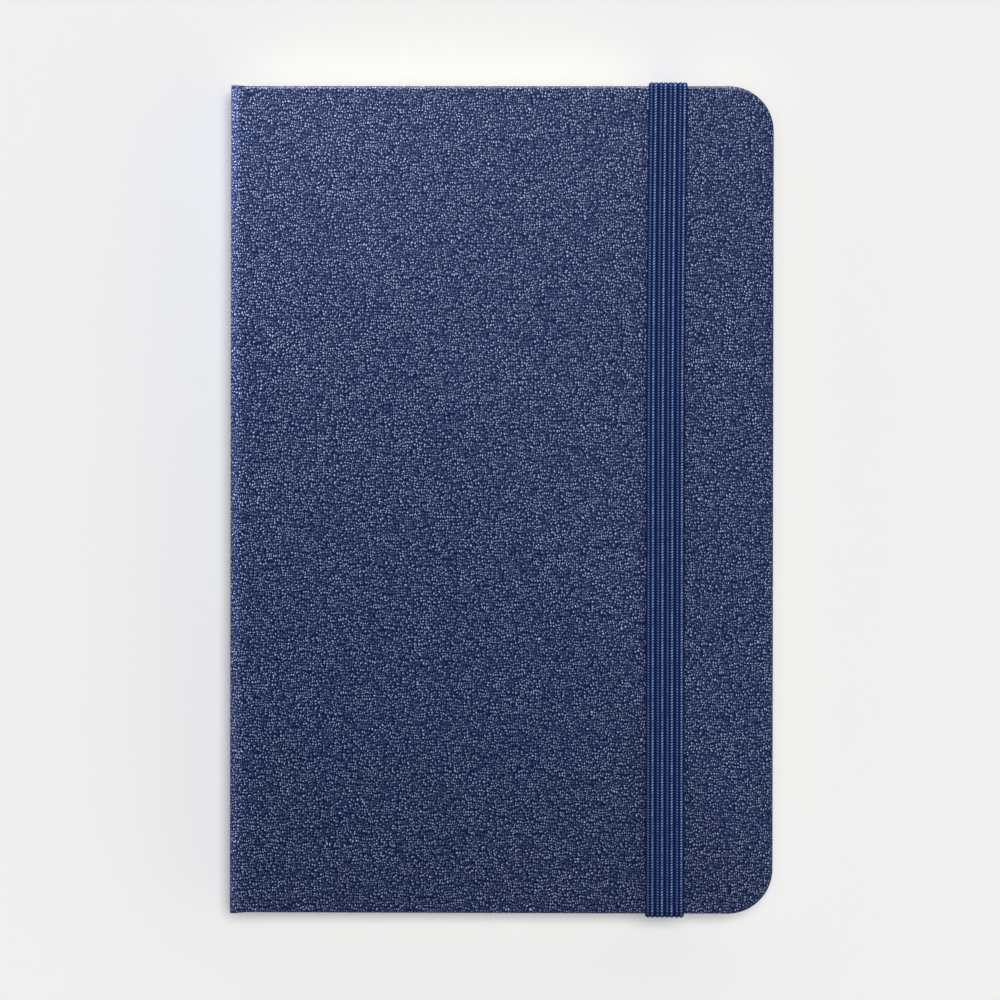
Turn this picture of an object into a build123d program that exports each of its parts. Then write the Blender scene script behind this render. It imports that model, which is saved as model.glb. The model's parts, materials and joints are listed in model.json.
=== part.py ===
"""Pocket pilot logbook: a sewn page block in a hard case with rounded corners and an elastic closure.

Frame, in millimetres: the closed book lies on its back cover.  X runs from the spine to the fore-edge,
Y from the tail to the head, and Z up through the thickness.  The origin is at the middle of the bottom.
"""

import math
import os

from build123d import *

# ---- driving dimensions -------------------------------------------------------------------------------
COVER_WIDTH = 92.0          # spine face to fore-edge
COVER_HEIGHT = 140.0        # tail to head
BOOK_DEPTH = 14.0           # outer face to outer face of the closed case
CORNER_RADIUS = 7.6         # the two fore-edge corners of the covers
SHOULDER_RADIUS = 2.4       # where the covering turns from a cover to the spine

COVERING = 0.3              # coated paper that wraps the boards
BOARD = 1.7                 # cover board
STIFFENER = 0.8             # card in the spine
PASTEDOWN = 0.15            # endpaper glued to the board
FLYLEAF = 0.12              # free endpaper
TURN_IN = 12.0              # covering folded over onto the inner face
EDGE_ROUND = 0.5            # rounding of the covering along the board's outer edges
BOARD_BACKSET = 0.1         # board's spine edge, back from where the flat of the cover begins
HINGE_CUT = 0.3             # degrees of the shoulder's turn left open on each side of a hinge

SQUARE = 2.0                # how far the covers stand out past the pages
PASTEDOWN_INSET = 2.5       # covering left showing around the pastedown
PASTEDOWN_BACKSET = 0.5     # pastedown's spine edge, back from where the flat begins
FLYLEAF_BACKSET = 0.1       # flyleaf's spine edge, back from the folds
SIGNATURES = 11             # folded sections in the page block, an odd number
SIGNATURE_PITCH = 0.84      # thickness that each section takes in the closed block
LEAF_GAP = 0.02             # air between neighbouring sections
FOLD_FLAT = 0.03            # flat left beside the rounding of a fold
SPINE_HOLLOW = 0.5          # air between the stiffener and the gauze
GAUZE = 0.25                # cloth glued over the folds
GAUZE_INSET = 6.0           # end of the cloth to the pages' head or tail
GLUE_GAP = 0.05             # between the gauze and the folds

BAND_WIDTH = 6.4            # elastic closure
BAND_THICKNESS = 0.7
BAND_FROM_FORE_EDGE = 18.0  # band's middle to the fore-edge
BAND_GAP = 0.05             # between the band and the covers
SLOT_FROM_END = 8.0         # slot in the back cover to the cover's head or tail
SLOT_LENGTH = 7.0
SLOT_WIDTH = 0.9
BAND_TAB = 14.0             # end of the band that is glued inside the back cover

STITCH_STATIONS = (-58.0, -36.0, -12.0, 12.0, 36.0, 58.0)
THREAD = 0.3                # sewing thread's diameter
LINK_LENGTH = 3.0           # stitch that links one section to the next
THREAD_PLAY = 0.03          # room around a thread in its notch
OVERSHOOT = 1.0             # how far a cutting solid runs past what it cuts

# ---- places worked out from them ----------------------------------------------------------------------
SPINE_X = -COVER_WIDTH / 2
FORE_X = COVER_WIDTH / 2
HALF_Y = COVER_HEIGHT / 2
MID_Z = BOOK_DEPTH / 2
CASE = COVERING + BOARD                     # one cover without its pastedown
PANEL_X = SPINE_X + SHOULDER_RADIUS         # where the flat of a cover begins
FOLD_X = SPINE_X + COVERING + STIFFENER + SPINE_HOLLOW + GAUZE + GLUE_GAP
PAGE_X = FORE_X - SQUARE
PAGE_HALF_Y = HALF_Y - SQUARE
PAGE_CORNER = CORNER_RADIUS - SQUARE / 2
BLOCK_LOW = MID_Z - SIGNATURES * SIGNATURE_PITCH / 2
CENTRE = (SIGNATURES + 1) // 2              # the section that the book opens in
BAND_X = FORE_X - BAND_FROM_FORE_EDGE
SLOT_Y = HALF_Y - SLOT_FROM_END
SPINE_ANGLE, FLAT_ANGLE = 180.0, 270.0      # a back shoulder's turn, from the spine to the cover
HINGE_ANGLE = (SPINE_ANGLE + FLAT_ANGLE) / 2
HINGE_INSET = SHOULDER_RADIUS * (1 - math.sqrt(0.5))    # case hinges to the outer faces
BLOCK_AXIS_X = FOLD_X - GLUE_GAP                       # the line that the open block turns about
LINK_X = FOLD_X + THREAD / 2 + THREAD_PLAY              # middle of a stitch in its notch


def span_plate(x_low, x_high, half_y, z_low, z_high, corner=0.0):
    """A flat plate, with its two corners at the fore-edge rounded."""
    outline = Pos((x_low + x_high) / 2, 0) * Rectangle(x_high - x_low, 2 * half_y)
    if corner:
        outline = fillet(outline.vertices().group_by(Axis.X)[-1], corner)
    return Pos(0, 0, z_low) * extrude(outline, z_high - z_low)


def shoulder_arc(start_deg, end_deg):
    """Half of the covering's turn round a back shoulder, between two angles about the turn's centre."""
    centre = (PANEL_X, SHOULDER_RADIUS)
    inner = SHOULDER_RADIUS - COVERING

    def at(radius, degrees):
        turn = math.radians(degrees)
        return (centre[0] + radius * math.cos(turn), centre[1] + radius * math.sin(turn))

    middle = (start_deg + end_deg) / 2
    ring = Line(at(inner, start_deg), at(SHOULDER_RADIUS, start_deg))
    ring += ThreePointArc(*(at(SHOULDER_RADIUS, d) for d in (start_deg, middle, end_deg)))
    ring += Line(at(SHOULDER_RADIUS, end_deg), at(inner, end_deg))
    ring += ThreePointArc(*(at(inner, d) for d in (end_deg, middle, start_deg)))
    return extrude(Plane.XZ * make_face(ring), HALF_Y, both=True)


def cover_board():
    """Cover board lying on its outer face, thinned at the margins where the covering is turned in."""
    x_low, x_high = PANEL_X + BOARD_BACKSET, FORE_X - COVERING
    half_y = HALF_Y - COVERING
    board = span_plate(x_low, x_high, half_y, COVERING, CASE, CORNER_RADIUS - COVERING)
    rebate = span_plate(x_low, x_high, half_y, CASE - COVERING, CASE, CORNER_RADIUS - COVERING)
    rebate -= span_plate(x_low, x_high - TURN_IN, half_y - TURN_IN, CASE - COVERING, CASE)
    return board - rebate


def cover_covering(board):
    """Covering of one cover: outer face, wrapped edges, turn-ins, and half of the shoulder."""
    shell = span_plate(PANEL_X, FORE_X, HALF_Y, 0, CASE, CORNER_RADIUS)
    outer = shell.faces().sort_by(Axis.Z)[0]
    edges = [e for e in outer.edges() if e.center().X > PANEL_X + COVERING]
    shell = fillet(edges, EDGE_ROUND)
    shell -= board
    shell -= span_plate(PANEL_X, PANEL_X + BOARD_BACKSET, HALF_Y, COVERING, CASE)
    return shell + shoulder_arc(HINGE_ANGLE + HINGE_CUT, FLAT_ANGLE)


def pastedown():
    """Endpaper on the inner face of a cover."""
    return span_plate(
        PANEL_X + PASTEDOWN_BACKSET, FORE_X - PASTEDOWN_INSET, HALF_Y - PASTEDOWN_INSET,
        CASE, CASE + PASTEDOWN, CORNER_RADIUS - PASTEDOWN_INSET / 2,
    )


def on_front(shape):
    """Mirrors a back cover's piece to the front of the book."""
    return Pos(0, 0, BOOK_DEPTH) * mirror(shape, Plane.XY)


def band_channel(grow):
    """Bed pressed into the back cover, from each slot to the edge, for the band to lie flush in."""
    width = BAND_WIDTH + 2 * (BAND_GAP + grow)
    length = HALF_Y - SLOT_Y + SLOT_WIDTH / 2 + OVERSHOOT
    depth = BAND_THICKNESS + grow
    bed = Pos(BAND_X, SLOT_Y - SLOT_WIDTH / 2 + length / 2, depth / 2) * Box(width, length, depth)
    return bed + mirror(bed, Plane.XZ)


def band_slots():
    """Cuts in the back cover: a slot at each end, and the bed of the band's glued tab."""
    slot = Box(SLOT_LENGTH, SLOT_WIDTH, 2 * (CASE + OVERSHOOT))
    tab_width = BAND_WIDTH + 2 * BAND_GAP
    bed = Pos(0, -BAND_TAB / 2, CASE - BAND_THICKNESS / 2) * Box(tab_width, BAND_TAB, BAND_THICKNESS)
    cut = Pos(BAND_X, SLOT_Y, 0) * (slot + bed)
    return cut + mirror(cut, Plane.XZ)


def band_end():
    """Fixed end of the band: in its channel at the head, up through the slot, and glued inside."""
    t = BAND_THICKNESS
    edge_y = HALF_Y + BAND_GAP
    half = t / 2
    under = Pos(0, (SLOT_Y - half + edge_y) / 2, half) * Box(BAND_WIDTH, edge_y - SLOT_Y + half, t)
    rise = Pos(0, SLOT_Y, CASE / 2) * Box(BAND_WIDTH, t, CASE)
    tab_y = SLOT_Y - BAND_TAB + BAND_GAP
    tab = Pos(0, (tab_y + SLOT_Y) / 2, CASE - half) * Box(BAND_WIDTH, SLOT_Y - tab_y, t)
    corner = Pos(0, edge_y, t) * Rot(0, 90, 0) * Cylinder(t, BAND_WIDTH)
    keep = Pos(0, edge_y + t / 2, t / 2) * Box(BAND_WIDTH, t, t)
    return Pos(BAND_X, 0, 0) * (under + rise + tab + (corner & keep))


def band_loop():
    """Stretched part of the band: up both ends of the book and over the front cover."""
    t = BAND_THICKNESS
    edge_y = HALF_Y + BAND_GAP
    face_z = BOOK_DEPTH + BAND_GAP
    low = t + BAND_GAP
    over = Pos(0, 0, face_z + t / 2) * Box(BAND_WIDTH, 2 * edge_y, t)
    corner = Pos(0, edge_y, face_z) * Rot(0, 90, 0) * Cylinder(t, BAND_WIDTH)
    keep = Pos(0, edge_y + t / 2, face_z + t / 2) * Box(BAND_WIDTH, t, t)
    side = Pos(0, edge_y + t / 2, (low + face_z) / 2) * Box(BAND_WIDTH, t, face_z - low)
    end = side + (corner & keep)
    return Pos(BAND_X, 0, 0) * (over + end + mirror(end, Plane.XZ))


def spine_stiffener():
    """Card strip in the spine, thinned at its ends where the covering is turned in."""
    z_low, z_high = SHOULDER_RADIUS, BOOK_DEPTH - SHOULDER_RADIUS
    x_low = SPINE_X + COVERING
    half_y = HALF_Y - COVERING
    card = span_plate(x_low, x_low + STIFFENER, half_y, z_low, z_high)
    flap = span_plate(x_low + STIFFENER - COVERING, x_low + STIFFENER, half_y, z_low, z_high)
    flap -= span_plate(x_low, x_low + STIFFENER, half_y - TURN_IN, z_low, z_high)
    return card - flap


def spine_covering(stiffener):
    """Covering of the spine with its turned-in ends and half of each shoulder."""
    z_low, z_high = SHOULDER_RADIUS, BOOK_DEPTH - SHOULDER_RADIUS
    flat = span_plate(SPINE_X, SPINE_X + COVERING + STIFFENER, HALF_Y, z_low, z_high) - stiffener
    arc = shoulder_arc(SPINE_ANGLE, HINGE_ANGLE - HINGE_CUT)
    return flat + arc + on_front(arc)


def thread_hole(y, length, x, z):
    """Room for one stitch that lies along Y."""
    return Pos(x, y, z) * Rot(90, 0, 0) * Cylinder(THREAD / 2 + THREAD_PLAY, length + 2 * THREAD_PLAY)


def stitch(y, length, x, z):
    """One stitch of thread along Y."""
    return Pos(x, y, z) * Rot(90, 0, 0) * Cylinder(THREAD / 2, length)


def section(z_low, z_high, round_edges):
    """A folded section of pages, rounded at its fold on the stated sides."""
    slab = span_plate(FOLD_X, PAGE_X, PAGE_HALF_Y, z_low, z_high, PAGE_CORNER)
    fold_edges = slab.faces().sort_by(Axis.X)[0].edges().filter_by(Axis.Y).sort_by(Axis.Z)
    sides = {"low": fold_edges[0], "high": fold_edges[-1]}
    return fillet([sides[name] for name in round_edges], (z_high - z_low) / 2 - FOLD_FLAT)


def sewn_section(number):
    """One section with the notches of its link stitches, and the stitches; number 1 is next to the front."""
    z_high = BLOCK_LOW + (SIGNATURES - number + 1) * SIGNATURE_PITCH - LEAF_GAP / 2
    z_low = z_high - SIGNATURE_PITCH + LEAF_GAP
    z_mid = (z_low + z_high) / 2
    pages = section(z_low, z_high, ("low", "high"))
    links = []
    notch_depth = THREAD + 2 * THREAD_PLAY
    for y in STITCH_STATIONS:
        notch = Box(2 * notch_depth, LINK_LENGTH + 2 * THREAD_PLAY, notch_depth)
        pages -= Pos(FOLD_X, y, z_mid) * notch
        links.append(stitch(y, LINK_LENGTH, LINK_X, z_mid))
    return pages, Compound(children=links)


def centre_section():
    """The middle section as its two halves, with the long stitches that lie in its open fold."""
    half = SIGNATURE_PITCH / 2 - LEAF_GAP
    back = section(MID_Z - LEAF_GAP / 2 - half, MID_Z - LEAF_GAP / 2, ("low",))
    front = section(MID_Z + LEAF_GAP / 2, MID_Z + LEAF_GAP / 2 + half, ("high",))
    stitches = []
    for start, end in zip(STITCH_STATIONS[0::2], STITCH_STATIONS[1::2]):
        y, length = (start + end) / 2, end - start
        hole = thread_hole(y, length, LINK_X, MID_Z)
        back -= hole
        front -= hole
        stitches.append(stitch(y, length, LINK_X, MID_Z))
    return back, front, Compound(children=stitches)


def gauze(z_low, z_high):
    """Half of the cloth that lines the folds."""
    x_high = FOLD_X - GLUE_GAP
    return span_plate(x_high - GAUZE, x_high, PAGE_HALF_Y - GAUZE_INSET, z_low, z_high)


def flyleaf(z_low):
    """A free endpaper."""
    x_low = FOLD_X + FLYLEAF_BACKSET
    return span_plate(x_low, PAGE_X, PAGE_HALF_Y, z_low, z_low + FLYLEAF, PAGE_CORNER)


def make_parts():
    """Every sub-part of the closed book, by node name."""
    parts = {}
    board = cover_board()
    parts["front_board"] = on_front(board)
    parts["front_covering"] = on_front(cover_covering(board))
    parts["front_pastedown"] = on_front(pastedown())
    cuts = band_slots()
    board -= band_channel(COVERING)
    parts["back_board"] = board - cuts
    parts["back_covering"] = cover_covering(board) - band_channel(0) - cuts
    parts["back_pastedown"] = pastedown()

    stiffener = spine_stiffener()
    parts["spine_stiffener"] = stiffener
    parts["spine_covering"] = spine_covering(stiffener)

    for number in range(1, SIGNATURES + 1):
        if number != CENTRE:
            pages, links = sewn_section(number)
            parts[f"signature_{number:02d}"] = pages
            parts[f"link_stitches_{number:02d}"] = links
    back, front, stitches = centre_section()
    parts[f"signature_{CENTRE:02d}_back_half"] = back
    parts[f"signature_{CENTRE:02d}_front_half"] = front
    parts["centre_stitches"] = stitches

    block_high = BLOCK_LOW + SIGNATURES * SIGNATURE_PITCH
    parts["spine_gauze_back_half"] = gauze(BLOCK_LOW, MID_Z - LEAF_GAP / 2)
    parts["spine_gauze_front_half"] = gauze(MID_Z + LEAF_GAP / 2, block_high)
    parts["back_flyleaf"] = flyleaf(BLOCK_LOW - LEAF_GAP - FLYLEAF)
    parts["front_flyleaf"] = flyleaf(block_high + LEAF_GAP)

    end = band_end()
    parts["elastic_end_head"] = end
    parts["elastic_end_tail"] = mirror(end, Plane.XZ)
    parts["elastic_band"] = band_loop()
    return parts


def main():
    """Writes one STEP file for each node."""
    os.makedirs("parts", exist_ok=True)
    parts = make_parts()
    for name, shape in parts.items():
        export_step(shape, f"parts/{name}.step")
    print(f"{len(parts)} nodes")
    print(f"case hinges {HINGE_INSET:.4f} mm inside the outer faces")
    print(f"block turns about x {BLOCK_AXIS_X:.4f}, z {MID_Z:.4f} mm")


main()
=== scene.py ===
"""Looks of a pocket pilot logbook: a navy case with pebble grain, a sewn page block, and a ribbed elastic.

Everything is in metres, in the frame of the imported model: X from the spine to the fore-edge, Y from the
tail to the head, Z up through the closed book, with the back cover's outer face on the ground.
"""
import json
import logging
import math
import random
from collections.abc import Callable, Iterator
from contextlib import contextmanager
from dataclasses import dataclass, field
from enum import Enum
from typing import Any

import bmesh
import bpy
import numpy as np
from mathutils import Matrix, Vector


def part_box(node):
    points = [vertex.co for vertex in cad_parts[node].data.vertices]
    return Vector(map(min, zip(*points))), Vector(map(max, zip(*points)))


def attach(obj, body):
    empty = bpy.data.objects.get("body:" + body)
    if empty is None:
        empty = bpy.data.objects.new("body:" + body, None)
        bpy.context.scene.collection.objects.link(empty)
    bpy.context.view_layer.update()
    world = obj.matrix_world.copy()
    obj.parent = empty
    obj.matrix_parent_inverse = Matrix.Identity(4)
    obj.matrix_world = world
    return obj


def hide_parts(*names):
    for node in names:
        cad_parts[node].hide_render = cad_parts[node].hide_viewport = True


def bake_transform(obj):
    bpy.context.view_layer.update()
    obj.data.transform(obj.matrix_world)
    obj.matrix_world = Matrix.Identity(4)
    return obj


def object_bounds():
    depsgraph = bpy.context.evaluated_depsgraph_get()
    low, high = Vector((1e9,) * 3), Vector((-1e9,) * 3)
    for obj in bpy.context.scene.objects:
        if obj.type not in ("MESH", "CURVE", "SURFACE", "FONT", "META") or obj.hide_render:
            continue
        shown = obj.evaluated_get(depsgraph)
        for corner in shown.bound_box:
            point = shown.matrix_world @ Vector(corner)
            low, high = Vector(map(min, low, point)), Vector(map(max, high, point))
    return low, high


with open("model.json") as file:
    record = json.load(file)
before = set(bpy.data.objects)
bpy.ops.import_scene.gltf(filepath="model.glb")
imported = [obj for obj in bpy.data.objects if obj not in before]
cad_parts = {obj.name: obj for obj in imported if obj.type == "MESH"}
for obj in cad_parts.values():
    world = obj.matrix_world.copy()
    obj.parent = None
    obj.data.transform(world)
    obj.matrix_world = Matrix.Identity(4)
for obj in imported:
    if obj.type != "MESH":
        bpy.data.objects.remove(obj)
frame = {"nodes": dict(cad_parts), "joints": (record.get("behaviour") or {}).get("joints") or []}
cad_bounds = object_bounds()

MM = 0.001
TOUCH = 1e-6              # closer than this counts as the same place
ALONG = 0.9               # a direction with more than this of an axis runs along it
ACROSS = 0.1              # a direction with less than this of an axis runs across it
Colour = tuple[float, float, float]
Test = Callable[[Vector, Vector], bool]
Unfold = Callable[[Vector, Vector], tuple[float, float]]
Piece = bpy.types.Object
Material = bpy.types.Material
Socket = bpy.types.NodeSocket
log = logging.getLogger("logbook")


# ---- the workbench: selecting and shaping ---------------------------------------------------------------
class Element(Enum):
    """What an edit works on."""

    POINT = "VERT"
    EDGE = "EDGE"
    FACE = "FACE"


def choose(*pieces: Piece) -> None:
    """Selects these pieces alone, and makes the first of them active."""
    bpy.ops.object.select_all(action="DESELECT")
    for piece in pieces:
        piece.select_set(True)
    if pieces:
        bpy.context.view_layer.objects.active = pieces[0]


def finish_primitive(name: str) -> Piece:
    """Names the primitive that was just added and puts its place into its mesh."""
    piece = bpy.context.active_object
    piece.name = name
    piece.data.name = name
    bpy.ops.object.transform_apply(location=True, rotation=True, scale=True)
    return piece


def block(name: str, low: Vector, high: Vector) -> Piece:
    """Adds a box between two corners.

    Args:
        name: the piece's name.
        low: lowest corner, in metres.
        high: highest corner, in metres.

    Returns:
        The new piece, with its object at the origin.
    """
    low, high = Vector(low), Vector(high)
    choose()
    bpy.ops.mesh.primitive_cube_add(size=1, location=(low + high) / 2, scale=high - low)
    return finish_primitive(name)


@contextmanager
def editing(piece: Piece, element: Element) -> Iterator[None]:
    """Opens a piece in edit mode with nothing selected, and closes it again."""
    choose(piece)
    bpy.ops.object.mode_set(mode="EDIT")
    bpy.ops.mesh.select_mode(type=element.value)
    bpy.ops.mesh.select_all(action="DESELECT")
    yield
    bpy.ops.object.mode_set(mode="OBJECT")


def pick(piece: Piece, element: Element, test: Test) -> None:
    """Selects, in the open piece, what passes a test.

    Args:
        piece: the piece that is in edit mode.
        element: points, edges or faces.
        test: takes the middle, and the direction of an edge or the normal of a face or point.
    """
    shape = bmesh.from_edit_mesh(piece.data)
    if element is Element.POINT:
        items = [(v, v.co, v.normal) for v in shape.verts]
    elif element is Element.EDGE:
        items = [(e, (e.verts[0].co + e.verts[1].co) / 2, (e.verts[1].co - e.verts[0].co).normalized())
                 for e in shape.edges]
    else:
        items = [(f, f.calc_center_median(), f.normal) for f in shape.faces]
    for item, middle, direction in items:
        item.select_set(bool(test(middle, direction)))
    shape.select_flush_mode()
    bmesh.update_edit_mesh(piece.data)


@contextmanager
def picked(piece: Piece, element: Element, test: Test) -> Iterator[None]:
    """Opens a piece in edit mode with what passes a test selected, and closes it again."""
    with editing(piece, element):
        pick(piece, element, test)
        yield


def apply_modifier(piece: Piece, kind: str, **settings: Any) -> None:
    """Adds a modifier with its settings and applies it."""
    choose(piece)
    modifier = piece.modifiers.new(kind.lower(), kind)
    for key, value in settings.items():
        setattr(modifier, key, value)
    bpy.ops.object.modifier_apply(modifier=modifier.name)


def face_outwards(piece: Piece) -> None:
    """Merges doubled points and turns every face outwards."""
    with editing(piece, Element.POINT):
        bpy.ops.mesh.select_all(action="SELECT")
        bpy.ops.mesh.remove_doubles(threshold=TOUCH)
        bpy.ops.mesh.normals_make_consistent(inside=False)


def smooth(piece: Piece, degrees: float = 35) -> None:
    """Smooths the shading of all edges that are blunter than an angle."""
    choose(piece)
    bpy.ops.object.shade_smooth_by_angle(angle=math.radians(degrees))


def join(pieces: list[Piece], name: str) -> Piece:
    """Joins several pieces into one mesh and names it."""
    choose(*pieces)
    if len(pieces) > 1:
        bpy.ops.object.join()
    pieces[0].name = name
    pieces[0].data.name = name
    return pieces[0]


def copy_of(piece: Piece, name: str, move: Matrix) -> Piece:
    """Copies a piece with its own mesh, moved in the mesh."""
    twin = piece.copy()
    twin.data = piece.data.copy()
    twin.name = name
    twin.data.name = name
    twin.data.transform(move)
    bpy.context.scene.collection.objects.link(twin)
    return twin


def cut_with(piece: Piece, cutter: Piece) -> None:
    """Takes the cutter's shape out of the piece, and removes the cutter."""
    apply_modifier(piece, "BOOLEAN", operation="DIFFERENCE", object=cutter, solver="EXACT")
    bpy.data.objects.remove(cutter)


def lay_out(piece: Piece, unfold: Unfold) -> None:
    """Gives a piece a UV map in metres.

    Args:
        piece: the finished mesh.
        unfold: takes a point and its face's normal, and gives its place on the flat sheet.
    """
    mesh = piece.data
    layer = mesh.uv_layers.new(name="sheet")
    for face in mesh.polygons:
        for corner in face.loop_indices:
            point = mesh.vertices[mesh.loops[corner].vertex_index].co
            layer.data[corner].uv = unfold(point, face.normal)


def mark_rim(piece: Piece, face_z: float, depth: float) -> None:
    """Stores how far each point has gone over the edge: 0 on the outer face, 1 at the rim's depth."""
    places = np.array([v.co.z for v in piece.data.vertices], np.float32)
    rim = np.clip(abs(places - face_z) / depth, 0, 1).astype(np.float32)
    piece.data.attributes.new("rim", "FLOAT", "POINT").data.foreach_set("value", rim)


def dress(piece: Piece, material: Material) -> None:
    """Gives a piece its material."""
    piece.data.materials.clear()
    piece.data.materials.append(material)


def report(piece: Piece) -> None:
    """Logs a finished piece."""
    log.info("%s: %d faces", piece.name, len(piece.data.polygons))


# ---- shader node work -----------------------------------------------------------------------------------
class Graph:
    """Adds nodes to a material or a node group."""

    def __init__(self, tree: bpy.types.NodeTree) -> None:
        """Starts on an empty tree."""
        self.tree = tree

    def add(self, kind: str, inputs: dict[Any, Any] | None = None, **settings: Any) -> bpy.types.Node:
        """Adds one node.

        Args:
            kind: the node's type without its ShaderNode prefix.
            inputs: a socket or a plain value for each input, by name or number.
            settings: the node's own settings.

        Returns:
            The new node.
        """
        node = self.tree.nodes.new("ShaderNode" + kind)
        node.location = (180 * len(self.tree.nodes), 0)
        for key, value in settings.items():
            setattr(node, key, value)
        self.feed(node, inputs or {})
        return node

    def feed(self, node: bpy.types.Node, inputs: dict[Any, Any]) -> None:
        """Links each socket that is given to an input, and sets each plain value on its input."""
        for key, value in inputs.items():
            if isinstance(value, Socket):
                self.tree.links.new(value, node.inputs[key])
            else:
                node.inputs[key].default_value = value

    def maths(self, operation: str, first: Any, second: Any = 0.0) -> Socket:
        """Adds a Math node and gives its result."""
        return self.add("Math", {0: first, 1: second}, operation=operation).outputs[0]

    def vectors(self, operation: str, first: Any, second: Any) -> Socket:
        """Adds a Vector Math node and gives its result; SCALE takes a number."""
        inputs = {0: first, 3 if operation == "SCALE" else 1: second}
        return self.add("VectorMath", inputs, operation=operation).outputs[0]

    def ramp(self, value: Any, low: float, high: float, start: float = 0.0, end: float = 1.0) -> Socket:
        """Maps a value smoothly from one range to another."""
        inputs = {"Value": value, "From Min": low, "From Max": high, "To Min": start, "To Max": end}
        return self.add("MapRange", inputs, interpolation_type="SMOOTHSTEP").outputs["Result"]

    def mix(self, factor: Any, first: Any, second: Any) -> Socket:
        """Mixes two colours."""
        colours = [c if isinstance(c, Socket) else (*c, 1.0) for c in (first, second)]
        return self.add("Mix", {0: factor, 6: colours[0], 7: colours[1]}, data_type="RGBA").outputs[2]

    def bump(self, height: Any, strength: float, distance: float) -> Socket:
        """Adds a Bump node and gives its normal."""
        return self.add("Bump", {"Strength": strength, "Distance": distance, "Height": height}).outputs[0]

    def group(self, tree: bpy.types.NodeTree, inputs: dict[str, Any]) -> bpy.types.Node:
        """Places a node group with its own values."""
        node = self.tree.nodes.new("ShaderNodeGroup")
        node.node_tree = tree
        self.feed(node, inputs)
        return node


def new_group(name: str, inputs: dict[str, Any],
              outputs: list[str]) -> tuple[Graph, bpy.types.Node, bpy.types.Node]:
    """Starts a shader node group.

    Args:
        name: the group's name.
        inputs: each input's name and its default, where None makes a vector input.
        outputs: names of the value outputs.

    Returns:
        The graph, and its group input and output nodes.
    """
    tree = bpy.data.node_groups.new(name, "ShaderNodeTree")
    for key, default in inputs.items():
        kind = "NodeSocketVector" if default is None else "NodeSocketFloat"
        socket = tree.interface.new_socket(name=key, in_out="INPUT", socket_type=kind)
        if default is not None:
            socket.default_value = default
    for key in outputs:
        tree.interface.new_socket(name=key, in_out="OUTPUT", socket_type="NodeSocketFloat")
    return Graph(tree), tree.nodes.new("NodeGroupInput"), tree.nodes.new("NodeGroupOutput")


def pebble_grain() -> bpy.types.NodeTree:
    """Grain of coated book covering: wavy rows of small pebbles.  Outputs a mask of painted glints and a
    height.
    """
    drift_per_mm, squat, unevenness, half_open = 0.42, 0.80, 0.55, (0.5, 0.5, 0.5)
    inputs = {"Vector": None, "Pebble": 0.5, "Wave": 0.5}
    graph, given, result = new_group("pebble_grain", inputs, ["PaintedGlint", "Height"])
    per_mm = graph.vectors("SCALE", given.outputs["Vector"], 1 / MM)
    drift = graph.add("TexNoise", {"Vector": per_mm, "Scale": drift_per_mm, "Detail": 2.0})
    centred = graph.vectors("SUBTRACT", drift.outputs["Color"], half_open)
    warped = graph.vectors("ADD", per_mm, graph.vectors("SCALE", centred, given.outputs["Wave"]))
    tall = graph.vectors("MULTIPLY", warped, (1.0, squat, 1.0))
    scale = graph.maths("DIVIDE", 1.0, given.outputs["Pebble"])
    cells = graph.add("TexVoronoi", {"Vector": tall, "Scale": scale, "Randomness": unevenness},
                      voronoi_dimensions="2D")
    share = graph.add("SeparateColor", {0: cells.outputs["Color"]}).outputs[0]
    dot = graph.ramp(cells.outputs["Distance"], 0.05, 0.33, 1.0, 0.0)
    # Mask of the painted glints: light dots on the crowns of the pebbles that stand in for light reflected by
    # the grain.
    painted_glint = graph.maths("MULTIPLY", dot, graph.ramp(share, 0.1, 1.0, 0.10, 1.0))
    dome = graph.ramp(cells.outputs["Distance"], 0.0, 0.75, 1.0, 0.0)
    graph.feed(result, {"PaintedGlint": painted_glint, "Height": dome})
    return graph.tree


def fibre_mottle() -> bpy.types.NodeTree:
    """Cloudy pulp and short fibres of paper, board and yarn.  Outputs a 0 to 1 mottle."""
    cloud_share, fibre_share = 0.55, 0.45
    inputs = {"Vector": None, "Cloud": 3.0, "Fibre": 0.12}
    graph, given, result = new_group("fibre_mottle", inputs, ["Mottle"])
    per_mm = graph.vectors("SCALE", given.outputs["Vector"], 1 / MM)
    cloud_scale = graph.maths("DIVIDE", 1.0, given.outputs["Cloud"])
    fibre_scale = graph.maths("DIVIDE", 1.0, given.outputs["Fibre"])
    cloud = graph.add("TexNoise", {"Vector": per_mm, "Scale": cloud_scale, "Detail": 3.0}).outputs[0]
    twisted = {"Vector": per_mm, "Scale": fibre_scale, "Detail": 2.0, "Distortion": 1.5}
    fibre = graph.add("TexNoise", twisted).outputs[0]
    both = graph.maths("ADD", graph.maths("MULTIPLY", cloud, cloud_share),
                       graph.maths("MULTIPLY", fibre, fibre_share))
    graph.feed(result, {"Mottle": graph.ramp(both, 0.3, 0.7)})
    return graph.tree


@dataclass(frozen=True)
class Groups:
    """The effects that several materials share."""

    pebble: bpy.types.NodeTree
    mottle: bpy.types.NodeTree


def new_material(name: str) -> tuple[Material, Graph, bpy.types.Node]:
    """Starts a node material.

    Args:
        name: the material's name.

    Returns:
        The material, its graph, and its Principled BSDF.
    """
    material = bpy.data.materials.new(name)
    material.use_nodes = True
    return material, Graph(material.node_tree), material.node_tree.nodes["Principled BSDF"]


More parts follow.
